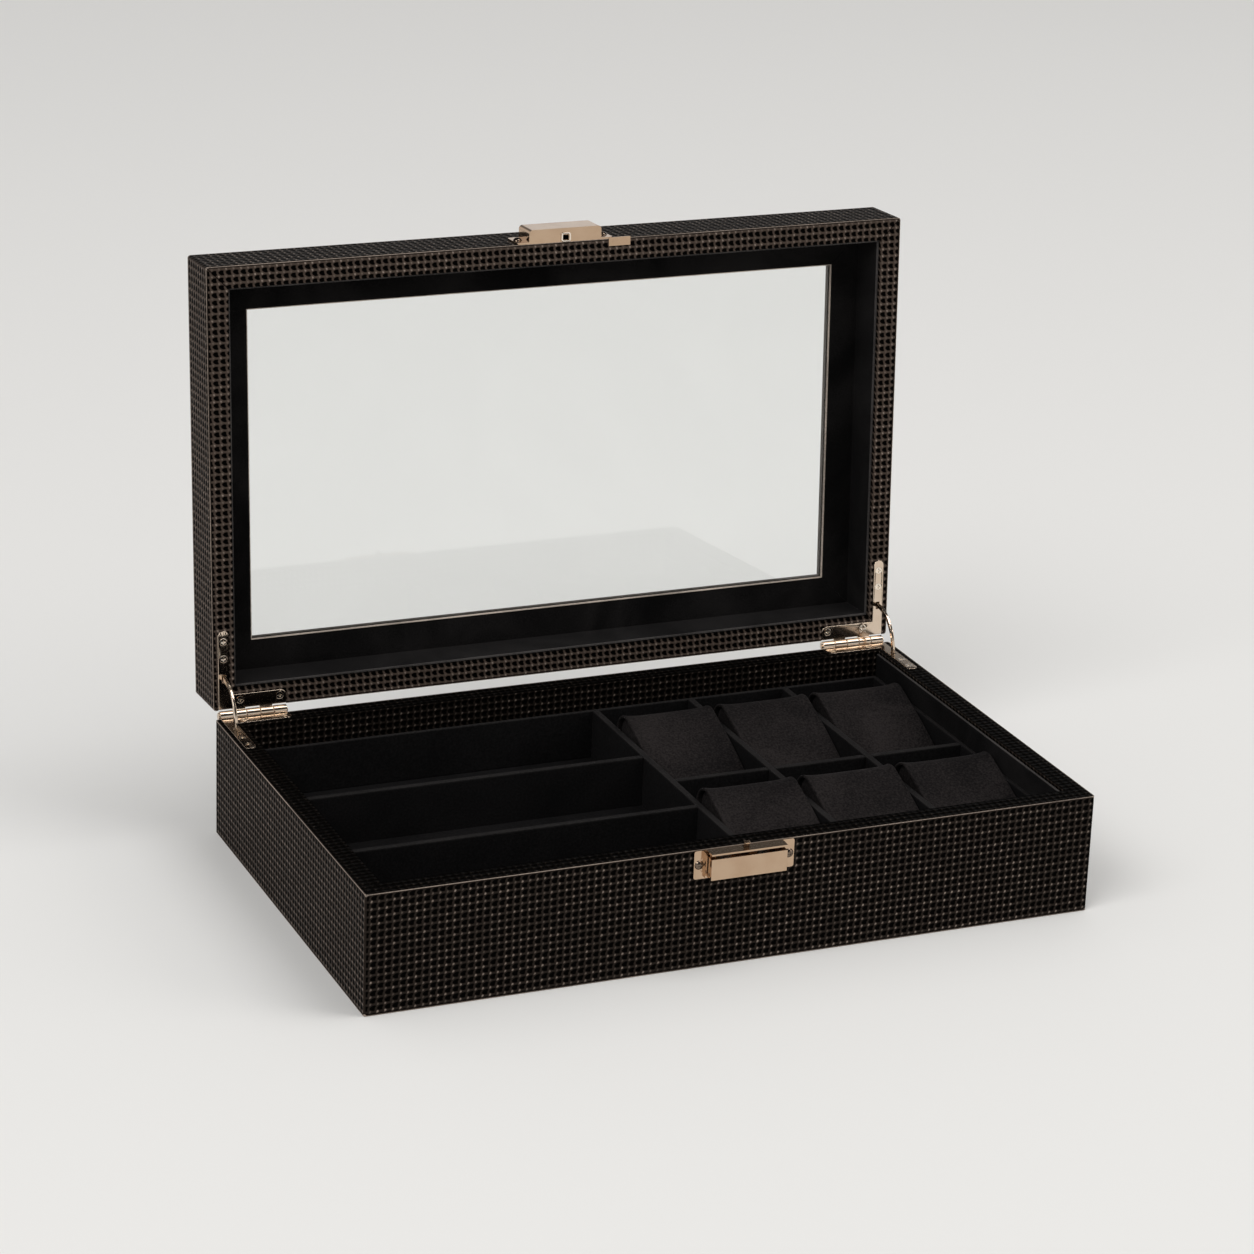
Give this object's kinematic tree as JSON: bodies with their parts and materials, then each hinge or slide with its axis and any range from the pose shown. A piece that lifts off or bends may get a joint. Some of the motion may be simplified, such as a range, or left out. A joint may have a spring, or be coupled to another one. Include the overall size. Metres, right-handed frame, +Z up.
{
  "type": "watch box",
  "caption": "Leatherette-covered case with glazed hinged lid, stay hinges, push clasp, glasses bays and lift-out watch pillows in a suede tray.",
  "frame": {"origin": "centre of the underside, where the case rests", "axes": "+X to the right seen from the clasp side, front with the clasp faces -Y, +Z up"},
  "size_m": [0.335, 0.2489, 0.2649],
  "materials": {
    "board": "raw fibreboard",
    "leatherette": "woven emboss, satin",
    "felt": "felt",
    "velvet": "short pile velvet",
    "suede": "microsuede",
    "glass": "clear",
    "nickel": "polished nickel plate",
    "spring_steel": "bright"
  },
  "bodies": {
    "base": {"base_front_board": "board", "base_back_board": "board", "base_left_board": "board", "base_right_board": "board", "base_bottom_board": "board", "base_wrap": "leatherette", "underside_felt": "felt", "left_side_lining": "velvet", "right_side_lining": "velvet", "tray_risers": "board", "tray_floor": "suede", "tray_front_wall": "suede", "tray_back_wall": "suede", "tray_left_wall": "suede", "tray_right_wall": "suede", "centre_divider": "suede", "rear_glasses_divider": "suede", "front_glasses_divider": "suede", "watch_row_divider": "suede", "left_watch_divider": "suede", "right_watch_divider": "suede", "left_hinge_base_leaf": "nickel", "right_hinge_base_leaf": "nickel", "left_hinge_pin": "nickel", "right_hinge_pin": "nickel", "base_hinge_screws": "nickel", "clasp_body": "nickel", "clasp_pivot_pin": "nickel", "clasp_spring": "spring_steel", "base_clasp_screws": "nickel"},
    "lid": {"lid_front_board": "board", "lid_back_board": "board", "lid_left_board": "board", "lid_right_board": "board", "lid_top_frame": "board", "lid_wrap": "leatherette", "glass_pane": "glass", "glass_retainer": "velvet", "lid_wall_lining": "velvet", "left_hinge_lid_leaf": "nickel", "right_hinge_lid_leaf": "nickel", "lid_hinge_screws": "nickel", "lid_catch_plate": "nickel", "lid_clasp_screws": "nickel"},
    "push_plate": {"clasp_push_plate": "nickel"},
    "left_stay": {"left_stay_arm": "nickel"},
    "right_stay": {"right_stay_arm": "nickel"},
    "rear_left_pillow": {"rear_left_pillow_cover": "suede", "rear_left_pillow_core": "suede"},
    "rear_middle_pillow": {"rear_middle_pillow_cover": "suede", "rear_middle_pillow_core": "suede"},
    "rear_right_pillow": {"rear_right_pillow_cover": "suede", "rear_right_pillow_core": "suede"},
    "front_left_pillow": {"front_left_pillow_cover": "suede", "front_left_pillow_core": "suede"},
    "front_middle_pillow": {"front_middle_pillow_cover": "suede", "front_middle_pillow_core": "suede"},
    "front_right_pillow": {"front_right_pillow_cover": "suede", "front_right_pillow_core": "suede"}
  },
  "joints": [
    {"name": "lid_hinge", "type": "hinge", "parent": "base", "child": "lid", "pos_m": [0, 0.1037, 0.05425], "axis": [1, 0, 0], "range_deg": [0, 93]},
    {"name": "left_stay_swing", "type": "hinge", "parent": "base", "child": "left_stay", "pos_m": [-0.1625, 0.1037, 0.05425], "axis": [1, 0, 0], "range_deg": [0, 46.5]},
    {"name": "right_stay_swing", "type": "hinge", "parent": "base", "child": "right_stay", "pos_m": [0.1625, 0.1037, 0.05425], "axis": [1, 0, 0], "range_deg": [0, 46.5]},
    {"name": "clasp_push", "type": "hinge", "parent": "base", "child": "push_plate", "pos_m": [0, -0.1049, 0.0439], "axis": [-1, 0, 0], "range_deg": [0, 5], "stiffness_Nm_per_rad": 0.08, "springref_deg": -6.88, "deforming": ["clasp_spring"]},
    {"name": "rear_left_pillow_lift", "type": "slide", "parent": "base", "child": "rear_left_pillow", "axis": [0, 0, -1], "range_m": [-0.06, 0]},
    {"name": "rear_middle_pillow_lift", "type": "slide", "parent": "base", "child": "rear_middle_pillow", "axis": [0, 0, -1], "range_m": [-0.06, 0]},
    {"name": "rear_right_pillow_lift", "type": "slide", "parent": "base", "child": "rear_right_pillow", "axis": [0, 0, -1], "range_m": [-0.06, 0]},
    {"name": "front_left_pillow_lift", "type": "slide", "parent": "base", "child": "front_left_pillow", "axis": [0, 0, -1], "range_m": [-0.06, 0]},
    {"name": "front_middle_pillow_lift", "type": "slide", "parent": "base", "child": "front_middle_pillow", "axis": [0, 0, -1], "range_m": [-0.06, 0]},
    {"name": "front_right_pillow_lift", "type": "slide", "parent": "base", "child": "front_right_pillow", "axis": [0, 0, -1], "range_m": [-0.06, 0]}
  ],
  "couplings": [
    {"joint": "left_stay_swing", "follows": "lid_hinge", "ratio": 0.5},
    {"joint": "right_stay_swing", "follows": "lid_hinge", "ratio": 0.5}
  ]
}
